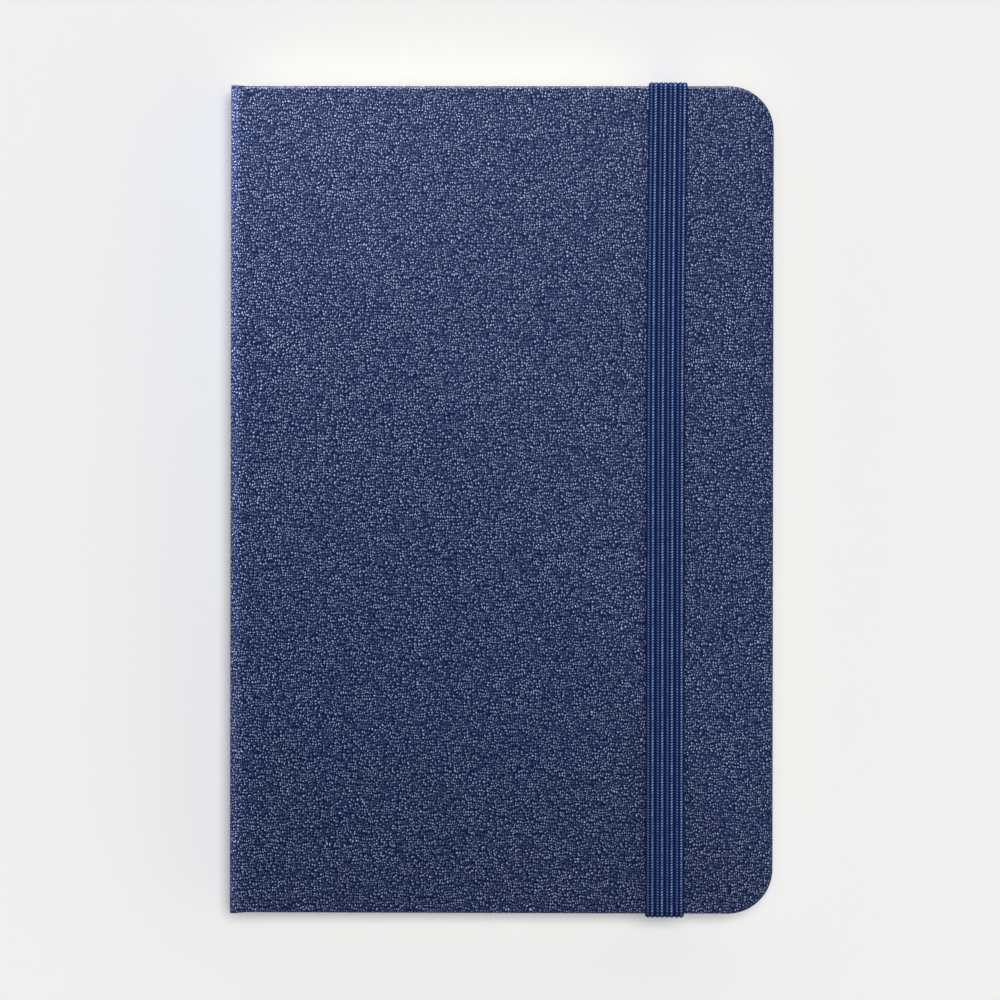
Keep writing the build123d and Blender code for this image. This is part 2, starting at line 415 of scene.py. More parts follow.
@dataclass(frozen=True)
class Leatherette:
    """Navy coated paper with a pebble grain, painted shade in the pits between the pebbles, painted glints on
    their crowns, and painted shade on the wrapped edges.
    """

    # The low colour is painted shade in the pits between the pebbles.
    low: Colour = (0.0010, 0.0080, 0.058)
    ground: Colour = (0.020, 0.036, 0.118)
    # Colour of the painted glints on the pebbles.
    painted_glint: Colour = (0.640, 0.750, 1.000)
    # Painted shade on the edges where the covering turns over, as a share of the low colour.
    painted_rim_shade: float = 0.35
    pebble: float = 0.40
    wave: float = 1.6
    patches_per_m: float = 60.0
    relief: float = 0.045 * MM
    bump: float = 0.8
    roughness: float = 0.36
    specular: float = 0.50
    tint: Colour = (0.78, 0.86, 1.0)

    def material(self, groups: Groups) -> Material:
        """Makes the material; it reads the piece's sheet UV map."""
        material, graph, shader = new_material("navy_leatherette")
        sheet = graph.add("UVMap", uv_map="sheet").outputs[0]
        grain = graph.group(groups.pebble, {"Vector": sheet, "Pebble": self.pebble, "Wave": self.wave})
        height = grain.outputs["Height"]
        # Painted shade: the colour falls to the low colour in the pits, where the height is low.
        base = graph.mix(graph.ramp(height, 0.15, 0.75), self.low, self.ground)
        patches = {"Vector": sheet, "Scale": self.patches_per_m, "Detail": 2.0}
        patch = graph.add("TexNoise", patches).outputs[0]
        # Painted glints, a little weaker in random patches.
        painted_glint_mask = graph.maths("MULTIPLY", grain.outputs["PaintedGlint"], graph.ramp(patch, 0.25, 0.75, 0.85, 1.0))
        with_painted_glints = graph.mix(painted_glint_mask, base, self.painted_glint)
        # Painted shade on the wrapped edges: the colour darkens towards the rim's depth.
        rim = graph.add("Attribute", attribute_name="rim").outputs["Fac"]
        edge = tuple(self.painted_rim_shade * c for c in self.low)
        graph.feed(shader, {
            "Base Color": graph.mix(graph.ramp(rim, 0.1, 0.9, 0.0, 0.8), with_painted_glints, edge),
            "Roughness": graph.ramp(height, 0.2, 0.9, self.roughness + 0.05, self.roughness - 0.03),
            "Normal": graph.bump(height, self.bump, self.relief),
            "Specular IOR Level": self.specular,
            "Specular Tint": (*self.tint, 1.0),
        })
        return material


@dataclass(frozen=True)
class WovenElastic:
    """Navy yarn wound over rubber cords, with painted shade in the valleys and a painted highlight on the
    crown of each stitch.
    """

    # The valley colour is painted shade between the ribs and between the stitches.
    valley: Colour = (0.0005, 0.0045, 0.040)
    yarn: Colour = (0.016, 0.043, 0.165)
    # The crown colour is a painted highlight on top of each stitch.
    crown: Colour = (0.470, 0.640, 1.000)
    cloud: float = 1.1
    fibre: float = 0.1
    relief: float = 0.02 * MM
    bump: float = 0.35
    roughness: float = 0.62
    specular: float = 0.1

    def material(self, groups: Groups) -> Material:
        """Makes the material; it reads the crown attribute, which is 1 on top of a stitch."""
        material, graph, shader = new_material("navy_elastic")
        crown = graph.add("Attribute", attribute_name="crown").outputs["Fac"]
        place = graph.add("TexCoord").outputs["Object"]
        inputs = {"Vector": place, "Cloud": self.cloud, "Fibre": self.fibre}
        mottle = graph.group(groups.mottle, inputs).outputs[0]
        # Painted shade: the yarn darkens to the valley colour away from the crowns.
        body = graph.mix(graph.ramp(crown, 0.05, 0.7), self.valley, self.yarn)
        # Painted highlight on the crowns of the stitches, uneven with the fibre mottle.
        painted_crown_highlight = graph.maths("MULTIPLY", graph.ramp(crown, 0.62, 1.05), graph.ramp(mottle, 0.0, 1.0, 0.30, 1.0))
        graph.feed(shader, {
            "Base Color": graph.mix(painted_crown_highlight, body, self.crown),
            "Roughness": self.roughness,
            "Normal": graph.bump(mottle, self.bump, self.relief),
            "Specular IOR Level": self.specular,
        })
        return material


@dataclass(frozen=True)
class Fibrous:
    """Paper, board, thread or cloth: a matt stock with clouds and fibres in two near shades."""

    name: str
    dark: Colour
    light: Colour
    cloud: float = 3.0
    fibre: float = 0.12
    relief: float = 0.012 * MM
    bump: float = 0.4
    roughness: float = 0.85

    def material(self, groups: Groups) -> Material:
        """Makes the material; it reads Object coordinates."""
        material, graph, shader = new_material(self.name)
        place = graph.add("TexCoord").outputs["Object"]
        inputs = {"Vector": place, "Cloud": self.cloud, "Fibre": self.fibre}
        mottle = graph.group(groups.mottle, inputs).outputs[0]
        graph.feed(shader, {
            "Base Color": graph.mix(mottle, self.dark, self.light),
            "Roughness": self.roughness,
            "Normal": graph.bump(mottle, self.bump, self.relief),
        })
        return material


@dataclass(frozen=True)
class RuledPaper:
    """A page ruled as a blank flight log: rows and columns in hairlines, with nothing written.

    Its lengths are in millimetres.
    """

    dark: Colour = (0.74, 0.70, 0.60)
    light: Colour = (0.82, 0.78, 0.68)
    ink: Colour = (0.16, 0.26, 0.30)
    row: float = 6.5
    column: float = 9.6
    columns: int = 8
    rows_each_way: float = 9.5
    hairline: float = 0.09
    margin: float = 5.5
    strength: float = 0.75
    roughness: float = 0.85

    def material(self, groups: Groups) -> Material:
        """Makes the material; it reads the sheet UV map, measured from the middle of the fold."""
        material, graph, shader = new_material("ruled_paper")
        sheet = graph.add("UVMap", uv_map="sheet").outputs[0]
        mottle = graph.group(groups.mottle, {"Vector": sheet, "Cloud": 3.0, "Fibre": 0.12}).outputs[0]
        paper = graph.mix(mottle, self.dark, self.light)
        parts = graph.add("SeparateXYZ", {0: sheet})
        across = graph.maths("DIVIDE", parts.outputs[0], MM)
        along = graph.maths("ABSOLUTE", graph.maths("DIVIDE", parts.outputs[1], MM))
        lines = graph.maths("MAXIMUM", self.rule(graph, across, self.column, self.margin),
                            self.rule(graph, along, self.row, self.row / 2))
        far = self.columns * self.column + self.margin
        inside = graph.maths("MULTIPLY", self.between(graph, across, self.margin, far),
                             self.between(graph, along, -1.0, self.rows_each_way * self.row))
        ruled = graph.maths("MULTIPLY", graph.maths("MULTIPLY", lines, inside), self.strength)
        graph.feed(shader, {"Base Color": graph.mix(ruled, paper, self.ink), "Roughness": self.roughness})
        return material

    def rule(self, graph: Graph, place: Socket, pitch: float, start: float) -> Socket:
        """Mask of hairlines at an even pitch, in millimetres."""
        moved = graph.maths("SUBTRACT", place, start - pitch / 2)
        share = graph.maths("FLOORED_MODULO", moved, pitch)
        away = graph.maths("ABSOLUTE", graph.maths("SUBTRACT", share, pitch / 2))
        return graph.ramp(away, self.hairline * 0.6, self.hairline * 1.4, 1.0, 0.0)

    def between(self, graph: Graph, place: Socket, low: float, high: float) -> Socket:
        """Mask of a stretch between two places, in millimetres, with room for the end lines."""
        above = graph.maths("GREATER_THAN", place, low - 2 * self.hairline)
        return graph.maths("MULTIPLY", above, graph.maths("LESS_THAN", place, high + 2 * self.hairline))


@dataclass(frozen=True)
class Ground:
    """The pale table that the book lies on."""

    shade: Colour = (0.84, 0.84, 0.84)
    cloud_shade: float = 0.995
    clouds_per_m: float = 30.0
    roughness: float = 0.9
    specular: float = 0.1

    def material(self) -> Material:
        """Makes the material."""
        material, graph, shader = new_material("pale_table")
        place = graph.add("TexCoord").outputs["Object"]
        cloud = graph.add("TexNoise", {"Vector": place, "Scale": self.clouds_per_m}).outputs[0]
        darker = tuple(self.cloud_shade * c for c in self.shade)
        graph.feed(shader, {"Base Color": graph.mix(cloud, darker, self.shade), "Roughness": self.roughness,
                            "Specular IOR Level": self.specular})
        return material


# ---- the case -------------------------------------------------------------------------------------------
@dataclass
class CaseSizes:
    """Sizes of the case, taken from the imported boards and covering."""

    corner: float = 7.6 * MM
    turn_in: float = 12.0 * MM
    rim: float = 0.5 * MM
    low: Vector = field(init=False)
    high: Vector = field(init=False)
    sheet: float = field(init=False)
    case: float = field(init=False)
    radius: float = field(init=False)
    spine_depth: float = field(init=False)

    def __post_init__(self) -> None:
        """Reads the frame."""
        back_low, back_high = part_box("back_covering")
        front_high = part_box("front_covering")[1]
        spine_low, spine_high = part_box("spine_covering")
        self.low = Vector((spine_low.x, back_low.y, back_low.z))
        self.high = Vector((back_high.x, back_high.y, front_high.z))
        self.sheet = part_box("back_board")[0].z - back_low.z
        self.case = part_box("back_board")[1].z - back_low.z
        self.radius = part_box("spine_stiffener")[0].z - back_low.z
        self.spine_depth = spine_high.x - spine_low.x

    @property
    def panel_x(self) -> float:
        """Where the flat of a cover begins."""
        return self.low.x + self.radius

    @property
    def arc(self) -> float:
        """Length of the covering round one shoulder."""
        return self.radius * math.pi / 2


@dataclass
class Covering:
    """The sheet that wraps the boards and the spine, in five panels that share one unrolled sheet."""

    sizes: CaseSizes
    material: Material
    cap: float = 0.32 * MM
    corner_steps: int = 14
    rim_steps: int = 4
    shoulder_steps: int = 18
    play: float = 0.05 * MM
    slot_place: float = 14.0 * MM
    slot_half: float = 0.45 * MM
    slot_wider: float = 0.25 * MM
    bed_above: float = 0.02 * MM

    def cover_panel(self, name: str, case_top: float) -> Piece:
        """Models one cover's covering with its outer face up: face, wrapped edges and turn-ins.

        Args:
            name: the piece's name.
            case_top: height of the outer face.

        Returns:
            The panel, open towards the spine.
        """
        s = self.sizes
        low = Vector((s.panel_x, s.low.y, case_top - s.case))
        panel = block(name, low, Vector((s.high.x, s.high.y, case_top)))
        with picked(panel, Element.EDGE, lambda m, d: abs(d.z) > ALONG and m.x > 0):
            bpy.ops.mesh.bevel(offset=s.corner, segments=self.corner_steps, affect="EDGES")
        with picked(panel, Element.FACE, lambda m, n: n.x < -ALONG):
            bpy.ops.mesh.delete(type="FACE")
        with picked(panel, Element.EDGE, lambda m, d: m.z > case_top - TOUCH and m.x > s.panel_x + TOUCH):
            bpy.ops.mesh.bevel(offset=s.rim, segments=self.rim_steps, affect="EDGES")
        self.open_inside(panel, low.z)
        apply_modifier(panel, "SOLIDIFY", thickness=s.sheet, offset=-1.0, use_even_offset=True)
        return panel

    def open_inside(self, panel: Piece, inner_z: float) -> None:
        """Cuts the middle out of the inner face, which leaves the turn-ins on three sides."""
        s = self.sizes
        cuts = [((s.high.x - s.turn_in, 0, 0), (1, 0, 0)),
                ((0, s.high.y - s.turn_in, 0), (0, 1, 0)), ((0, s.low.y + s.turn_in, 0), (0, 1, 0))]
        with editing(panel, Element.FACE):
            for place, normal in cuts:
                pick(panel, Element.FACE, lambda m, n: n.z < -ALONG and abs(m.z - inner_z) < TOUCH)
                bpy.ops.mesh.bisect(plane_co=place, plane_no=normal)
            pick(panel, Element.FACE, lambda m, n: n.z < -ALONG and m.x < s.high.x - s.turn_in
                 and abs(m.y) < s.high.y - s.turn_in)
            bpy.ops.mesh.delete(type="FACE")

    def shoulder(self, name: str, top: float) -> Piece:
        """Models the covering's turn from the spine up to the front cover."""
        s = self.sizes
        centre = Vector((s.panel_x, 0, top - s.radius))
        choose()
        bpy.ops.mesh.primitive_plane_add(size=1, location=(s.low.x, 0, centre.z))
        strip = finish_primitive(name)
        with editing(strip, Element.POINT):
            pick(strip, Element.POINT, lambda m, n: m.x > s.low.x)
            bpy.ops.mesh.delete(type="VERT")
            bpy.ops.mesh.select_all(action="SELECT")
            reach = (s.high.y + self.cap) * 2
            bpy.ops.transform.resize(value=(1, reach, 1), center_override=(0, 0, 0))
            bpy.ops.transform.translate(value=(0.5, 0, 0))
            bpy.ops.mesh.spin(steps=self.shoulder_steps, angle=-math.pi / 2, center=centre, axis=(0, 1, 0))
            for step in range(1, self.shoulder_steps + 1):
                turn = math.pi / 2 * step / self.shoulder_steps
                x = centre.x - s.radius * math.cos(turn)
                pick(strip, Element.POINT, lambda m, n: abs(m.x - x) < TOUCH)
                narrower = 1 - self.cap / (s.high.y + self.cap) * step / self.shoulder_steps
                bpy.ops.transform.resize(value=(1, narrower, 1), center_override=(0, 0, 0))
        face_outwards(strip)
        self.point_from(strip, centre)
        apply_modifier(strip, "SOLIDIFY", thickness=s.sheet, offset=-1.0)
        return strip

    @staticmethod
    def point_from(strip: Piece, centre: Vector) -> None:
        """Turns an open strip's faces away from a line along Y."""
        middle = strip.data.polygons[len(strip.data.polygons) // 2]
        out = middle.center - centre
        if middle.normal.x * out.x + middle.normal.z * out.z < 0:
            strip.data.flip_normals()

    def spine_panel(self, name: str) -> Piece:
        """Models the spine's covering with its turned-in ends."""
        s = self.sizes
        low = Vector((s.low.x, s.low.y - self.cap, s.low.z + s.radius))
        high = Vector((s.low.x + s.spine_depth, s.high.y + self.cap, s.high.z - s.radius))
        panel = block(name, low, high)
        with picked(panel, Element.FACE, lambda m, n: abs(n.z) > ALONG):
            bpy.ops.mesh.delete(type="FACE")
        with picked(panel, Element.EDGE, lambda m, d: abs(d.z) > ALONG and m.x < s.low.x + TOUCH):
            bpy.ops.mesh.bevel(offset=s.rim, segments=self.rim_steps, affect="EDGES")
        inner = high.y - s.turn_in
        with editing(panel, Element.FACE):
            for side in (inner, -inner):
                pick(panel, Element.FACE, lambda m, n: n.x > ALONG)
                bpy.ops.mesh.bisect(plane_co=(0, side, 0), plane_no=(0, 1, 0))
            pick(panel, Element.FACE, lambda m, n: n.x > ALONG and abs(m.y) < inner)
            bpy.ops.mesh.delete(type="FACE")
        apply_modifier(panel, "SOLIDIFY", thickness=s.sheet, offset=-1.0, use_even_offset=True)
        return panel

    def unfold_cover(self, face_z: float, start: float, away: float) -> Unfold:
        """Gives the unrolling of a cover panel.

        Args:
            face_z: height of its outer face.
            start: place on the sheet where the panel begins.
            away: 1 where the sheet runs on with X, -1 where it runs back.

        Returns:
            The function for lay_out.
        """
        s = self.sizes

        def unfold(point: Vector, normal: Vector) -> tuple[float, float]:
            side = Vector((normal.x, normal.y))
            down = abs(point.z - face_z)
            if side.length > ACROSS:
                side = side.normalized() * down
            x = point.x - s.panel_x + side.x
            return start + away * x, point.y + side.y

        return unfold

    def unfold_shoulder(self, top: float, start: float, away: float) -> Unfold:
        """Gives the unrolling of a shoulder, from the cover's flat round to the spine."""
        s = self.sizes
        height = top - s.radius if away > 0 else top + s.radius

        def unfold(point: Vector, normal: Vector) -> tuple[float, float]:
            turn = math.atan2(s.panel_x - point.x, away * (point.z - height))
            return start - away * turn * s.radius, point.y

        return unfold

    def build(self) -> list[Piece]:
        """Models and places all five panels, and returns those that the spine's light reaches."""
        s = self.sizes
        flip = Matrix.Translation((0, 0, s.low.z + s.high.z)) @ Matrix.Scale(-1, 4, (0, 0, 1))
        spine_start = s.panel_x - s.arc
        spine_length = s.high.z - s.low.z - 2 * s.radius
        back_arc = spine_start - spine_length
        back_start = back_arc - s.arc

        front = self.cover_panel("front_covering_sheet", s.high.z)
        back = copy_of(front, "back_covering_sheet", flip)
        back.data.flip_normals()
        self.let_in_elastic(back)
        lay_out(front, self.unfold_cover(s.high.z, s.panel_x, 1))
        lay_out(back, self.unfold_cover(s.low.z, back_start, -1))
        front_turn = self.shoulder("front_shoulder_sheet", s.high.z)
        back_turn = copy_of(front_turn, "back_shoulder_sheet", flip)
        back_turn.data.flip_normals()
        lay_out(front_turn, self.unfold_shoulder(s.high.z, s.panel_x, 1))
        lay_out(back_turn, self.unfold_shoulder(s.low.z, back_start, -1))
        spine = self.spine_panel("spine_covering_sheet")
        lay_out(spine, lambda p, n: (spine_start - (s.high.z - s.radius - p.z), p.y + (p.x - s.low.x) * n.y))

        mark_rim(front, s.high.z, s.rim)
        mark_rim(back, s.low.z, s.rim)
        for piece in (front, back, front_turn, back_turn, spine):
            smooth(piece)
            dress(piece, self.material)
            report(piece)
        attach(front, "front_cover")
        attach(back, "back_cover")
        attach(spine, "spine")
        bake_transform(front_turn)
        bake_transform(back_turn)
        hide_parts("front_covering")
        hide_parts("back_covering")
        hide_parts("spine_covering")
        return [front, front_turn, back_turn, spine]

    def let_in_elastic(self, back: Piece) -> None:
        """Cuts the elastic's slots and channels, and lines each channel with the pressed covering."""
        s = self.sizes
        low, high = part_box("elastic_end_head")
        slot_y = low.y + self.slot_place - self.play
        near, far = slot_y - self.slot_half, slot_y + self.slot_half
        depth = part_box("elastic_band")[1].z - s.high.z - self.play
        cuts = ((self.slot_wider, near, far, s.case + MM), (0.0, slot_y, s.high.y + MM, depth))
        for sign, end in ((1, "head"), (-1, "tail")):
            for wider, first, last, top in cuts:
                ys = sorted((sign * first, sign * last))
                cutter = block("cutter", (low.x - self.play - wider, ys[0], -MM),
                               (high.x + self.play + wider, ys[1], top))
                cut_with(back, cutter)
            ys = sorted((sign * far, sign * (s.high.y - self.play)))
            bed = block("bed_" + end, (low.x - self.play, ys[0], self.bed_above),
                        (high.x + self.play, ys[1], depth))
            with picked(bed, Element.FACE, lambda m, n: n.z < -ALONG or abs(n.y) > ALONG):
                bpy.ops.mesh.delete(type="FACE")
            apply_modifier(bed, "SOLIDIFY", thickness=s.sheet, offset=1.0)
            join([back, bed], back.name)


# ---- the elastic ----------------------------------------------------------------------------------------
@dataclass
class Elastic:
    """Ribbed webbing: a pair of ribs is modelled for one stitch, then repeated across and along."""

    material: Material
    ribs: int = 8
    stitch: float = 0.463 * MM
    slant: float = 0.32 * MM
    valley: float = 0.10 * MM
    pairing: float = 0.88
    weaker: float = 0.90
    groove_share: float = 0.1
    groove_height: float = 0.62
    merge: float = 0.01 * MM
    rows: int = 3
    per_rib: int = 4
    aside: float = -0.25 * MM
    relaxed: float = 0.02
    bow: float = 0.40 * MM
    bow_from: float = 12 * MM
    bow_power: float = 1.6
    tab: float = 13.6 * MM
    slot_radius: float = 0.36 * MM
    channel_radius: float = 0.40 * MM
    front_radius: float = 0.75 * MM
    turn_above: float = 0.2 * MM
    low: Vector = field(init=False)
    high: Vector = field(init=False)
    end_low: Vector = field(init=False)
    end_high: Vector = field(init=False)
    thickness: float = field(init=False)

    def __post_init__(self) -> None:
        """Reads the frame."""
        self.low, self.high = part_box("elastic_band")
        self.end_low, self.end_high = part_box("elastic_end_head")
        self.thickness = self.high.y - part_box("back_covering")[1].y - 0.05 * MM

    @property
    def pitch(self) -> float:
        """Distance from rib to rib."""
        return (self.high.x - self.low.x) / self.ribs

    def stitch_pair(self) -> Piece:
        """Models one stitch of two neighbouring ribs, both faces, lying flat at the origin."""
        columns = 2 * self.per_rib
        choose()
        bpy.ops.mesh.primitive_grid_add(x_subdivisions=columns, y_subdivisions=self.rows, size=1,
                                        location=(self.pitch, self.stitch / 2, 0))
        cell = finish_primitive("stitch_pair")
        crown = self.thickness / 2
        with editing(cell, Element.POINT):
            bpy.ops.mesh.select_all(action="SELECT")
            bpy.ops.transform.resize(value=(2 * self.pitch, self.stitch, 1),
                                     center_override=(self.pitch, self.stitch / 2, 0))
            for column in range(columns + 1):
                share = (column % self.per_rib) / self.per_rib
                top = crown * (self.weaker if column <= self.per_rib else 1.0)
                height = self.valley + (top - self.valley) * math.sin(math.pi * share)
                zigzag = abs(column - self.per_rib) / self.per_rib - 0.5
                x = column * 2 * self.pitch / columns
                pick(cell, Element.POINT, lambda m, n: abs(m.x - x) < TOUCH)
                bpy.ops.transform.translate(value=(0, self.slant * zigzag, height))
                if 0 < column < columns:
                    bpy.ops.transform.resize(value=(self.pairing, 1, 1), center_override=(self.pitch, 0, 0))
            self.groove(cell)
            bpy.ops.mesh.select_all(action="SELECT")
            bpy.ops.mesh.duplicate()
            bpy.ops.transform.resize(value=(1, 1, -1), center_override=(0, 0, 0))
            bpy.ops.mesh.flip_normals()
        return cell

    def groove(self, cell: Piece) -> None:
        """Presses down the points between one stitch and the next, most of all on the crowns."""
        def between(point: Vector) -> bool:
            zigzag = abs(point.x - self.pitch) / self.pitch - 0.5
            along = (point.y - self.slant * zigzag) % self.stitch
            return min(along, self.stitch - along) < self.groove_share * self.stitch

        pick(cell, Element.POINT, lambda m, n: between(m) and m.z > self.valley + 0.02 * MM)
        bpy.ops.transform.resize(value=(1, 1, self.groove_height), center_override=(0, 0, 0))

    def path(self) -> tuple[np.ndarray, np.ndarray, np.ndarray]:
        """Middle line of the webbing, in the plane across the book.

        Returns:
            Distance along, the points (y, z), and the outward directions (y, z).
        """
        half = self.thickness / 2
        tab_z = self.end_high.z - half
        slot_y = self.end_low.y + self.tab
        edge_y = self.high.y - half
        front_z = self.high.z - half
        bottom_z = self.end_low.z + half
        corners = [(self.tab - slot_y, tab_z), (-slot_y, tab_z), (-slot_y, bottom_z), (-edge_y, bottom_z),
                   (-edge_y, front_z)]
        radii = [0, self.slot_radius, self.slot_radius, self.channel_radius, self.front_radius]
        corners += [(-y, z) for y, z in reversed(corners)]
        radii += list(reversed(radii))
        line = [Vector(corners[0])]
        for before, corner, after, radius in zip(corners, corners[1:], corners[2:], radii[1:]):
            line += self.rounded(Vector(before), Vector(corner), Vector(after), radius)
        line.append(Vector(corners[-1]))
        points = np.array([tuple(p) for p in line])
        along = np.concatenate([[0], np.cumsum(np.linalg.norm(np.diff(points, axis=0), axis=1))])
        tangent = np.gradient(points, along, axis=0)
        tangent /= np.linalg.norm(tangent, axis=1)[:, None]
        return along, points, np.stack([-tangent[:, 1], tangent[:, 0]], axis=1)

    @staticmethod
    def rounded(before: Vector, corner: Vector, after: Vector, radius: float) -> list[Vector]:
        """Points of the quarter round that joins two runs at a square corner."""
        back, ahead = (before - corner).normalized(), (after - corner).normalized()
        centre = corner + (back + ahead) * radius
        steps = 8
        turns = [math.pi / 2 * k / steps for k in range(steps + 1)]
        return [centre - ahead * radius * math.cos(t) - back * radius * math.sin(t) for t in turns]

    def build(self) -> None:
        """Models the webbing and bends it round the book."""
        along, points, outward = self.path()
        count = round(along[-1] / self.stitch)
        band = self.stitch_pair()
        for number, offset in ((self.ribs // 2, (2 * self.pitch, 0, 0)), (count, (0, self.stitch, 0))):
            apply_modifier(band, "ARRAY", count=number, use_relative_offset=False, use_constant_offset=True,
                           constant_offset_displace=offset, use_merge_vertices=True,
                           merge_threshold=self.merge)
        width = self.pitch * self.ribs
        with picked(band, Element.POINT, lambda m, n: min(m.x, width - m.x) < TOUCH):
            bpy.ops.transform.resize(value=(1, 1, 0), center_override=(0, 0, 0))
            bpy.ops.mesh.select_all(action="SELECT")
            bpy.ops.mesh.remove_doubles(threshold=self.merge / 2)
            bpy.ops.mesh.fill_holes(sides=0)
        self.mark_crowns(band)
        self.bend_round(band, along, points, outward, count * self.stitch)
        band.name = "elastic_webbing"
        smooth(band, 80)
        dress(band, self.material)
        report(band)
        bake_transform(band)
        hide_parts("elastic_band", "elastic_end_head", "elastic_end_tail")

    def mark_crowns(self, band: Piece) -> None:
        """Stores how near each point is to the crown of a stitch."""
        height = np.array([abs(v.co.z) for v in band.data.vertices], np.float32)
        crown = np.clip((height - self.valley) / (self.thickness / 2 - self.valley), 0, 1)
        band.data.attributes.new("crown", "FLOAT", "POINT").data.foreach_set("value", crown)

    def bend_round(self, band: Piece, along: np.ndarray, points: np.ndarray,
                   outward: np.ndarray, length: float) -> None:
        """Carries the flat webbing onto its path.

        Args:
            band: the flat webbing, from the origin along Y.
            along: distance of each path point from the start.
            points: the path points.
            outward: direction of the webbing's outer face at each.
            length: length of the flat webbing.
        """
        flat = np.array([v.co for v in band.data.vertices])
        place = np.clip(flat[:, 1] / length, 0, 1) * along[-1]
        moved = np.empty_like(flat)
        for axis in (0, 1):
            direction = np.interp(place, along, outward[:, axis])
            moved[:, axis + 1] = np.interp(place, along, points[:, axis]) + flat[:, 2] * direction
        rise = np.clip((moved[:, 2] - 1 * MM) / (self.high.z - 2 * MM), 0, 1)
        bow = np.clip((moved[:, 1] - self.bow_from) / (self.high.y - self.bow_from), 0, 1) ** self.bow_power
        from_middle = flat[:, 0] - self.pitch * self.ribs / 2
        moved[:, 0] = (self.low.x + self.high.x) / 2 + from_middle * (1 + self.relaxed * rise)
        moved[:, 0] += (self.aside + self.bow * bow) * rise
        band.data.vertices.foreach_set("co", moved.ravel())
        band.data.update()


# ---- the page block -------------------------------------------------------------------------------------
@dataclass
class PageBlock:
    """Eleven folded sections, modelled as their sheets, with the gauze over the folds."""

    paper: Material
    ruled: Material
    cloth: Material
    sheets: int = 4
    corner: float = 6.6 * MM
    sheet: float = 0.09 * MM
    corner_steps: int = 8
    fold_steps: int = 6
    half_turn: float = math.radians(70)
    spread_gap: float = 0.01 * MM
    uneven_edge: float = 0.12
    uneven_head: float = 0.06
    uneven_place: tuple[float, float] = (-0.04, 0.03)
    notch_half: float = 1.5 * MM
    notch_play: float = 0.03 * MM
    middle: int = 6
    sections: int = 11
    mesh_pitch: float = 0.85 * MM
    strand: float = 0.16 * MM
    stations: tuple[float, ...] = (-58.0, -36.0, -12.0, 12.0, 36.0, 58.0)

    def folded(self, name: str, fold: Vector, far: Vector, inner: float, turn: float, steps: int,
               both: bool) -> Piece:
        """Models one sheet folded in two, or the half of it below the fold.

        Args:
            name: the piece's name.
            fold: middle of the fold, a line along Y.
            far: fore-edge and head of the sheet.
            inner: distance from the middle of the fold to the sheet.
            turn: how far the fold turns, in radians.
            steps: flats that make up the fold.
            both: True for both leaves, False for the lower one with its part of the fold.

        Returns:
            The sheet as a closed mesh.
        """
        low = Vector((fold.x, -far.y, fold.z - inner - self.sheet))
        leaf = block(name, low, Vector((far.x, far.y, fold.z - inner)))
        with picked(leaf, Element.EDGE, lambda m, d: abs(d.z) > ALONG and m.x > far.x - TOUCH):
            bpy.ops.mesh.bevel(offset=self.corner, segments=self.corner_steps, affect="EDGES")
        with picked(leaf, Element.FACE, lambda m, n: n.x < -ALONG):
            bpy.ops.mesh.delete(type="FACE")
        if both:
            with editing(leaf, Element.POINT):
                bpy.ops.mesh.select_all(action="SELECT")
                bpy.ops.mesh.duplicate()
                bpy.ops.transform.resize(value=(1, 1, -1), center_override=fold)
        with picked(leaf, Element.EDGE,
                    lambda m, d: abs(m.x - fold.x) < TOUCH and m.z < fold.z and abs(d.x) < ACROSS):
            bpy.ops.mesh.spin(steps=steps, angle=-turn, center=fold, axis=(0, 1, 0))
            if not both:
                bpy.ops.mesh.edge_face_add()
        face_outwards(leaf)
        return leaf

    def section(self) -> tuple[Piece, float]:
        """Models one whole section at its place next to the front cover.

        Returns:
            The section, and the height of its middle.
        """
        low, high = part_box("signature_01")
        middle = (low.z + high.z) / 2
        leaf = (high.z - low.z) / (2 * self.sheets)
        fold = Vector((low.x + (high.z - low.z) / 2, 0, middle))
        rng = random.Random(11)
        sheets = []
        for k in range(self.sheets):
            far = Vector((high.x - rng.uniform(0, self.uneven_edge) * MM,
                          high.y - rng.uniform(0, self.uneven_head) * MM, 0))
            inner = (k + 0.5) * leaf - self.sheet / 2
            sheets.append(self.folded(f"sheet_{k}", fold, far, inner, math.pi, self.fold_steps, True))
        return join(sheets, "section_pattern"), middle

    def notch(self, section: Piece, middle: float) -> None:
        """Cuts the notches of the link stitches into a section's fold."""
        low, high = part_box("link_stitches_01")
        play, reach = self.notch_play, self.notch_half
        half = (high.x - low.x) / 2 + play
        cutters = [block("notch", (low.x - MM, y * MM - reach - play, middle - half),
                         (high.x + play, y * MM + reach + play, middle + half)) for y in self.stations]
        cut_with(section, join(cutters, "notches"))

    def build(self) -> None:
        """Models and places the sections, the middle sheet and the gauze."""
        pattern, middle = self.section()
        self.notch(pattern, middle)
        rng = random.Random(5)
        for number in range(1, self.sections + 1):
            if number == self.middle:
                continue
            node = f"signature_{number:02d}"
            low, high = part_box(node)
            shift = rng.uniform(*self.uneven_place) * MM
            move = Matrix.Translation((shift, 0, (low.z + high.z) / 2 - middle))
            leaves = copy_of(pattern, f"leaves_{number:02d}", move)
            self.place(leaves, f"section_{number:02d}" if number < self.sections else "back_cover", node)
        bpy.data.objects.remove(pattern)
        self.middle_section()
        self.gauze("back", [f"section_{k:02d}" for k in (10, 9, 8, 7)] + ["middle_back_half"])
        self.gauze("front", [f"section_{k:02d}" for k in (5, 4, 3, 2, 1)])

    def place(self, leaves: Piece, body: str, node: str) -> None:
        """Dresses leaves and sets them on their body."""
        smooth(leaves)
        dress(leaves, self.paper)
        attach(leaves, body)
        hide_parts(node)
        report(leaves)

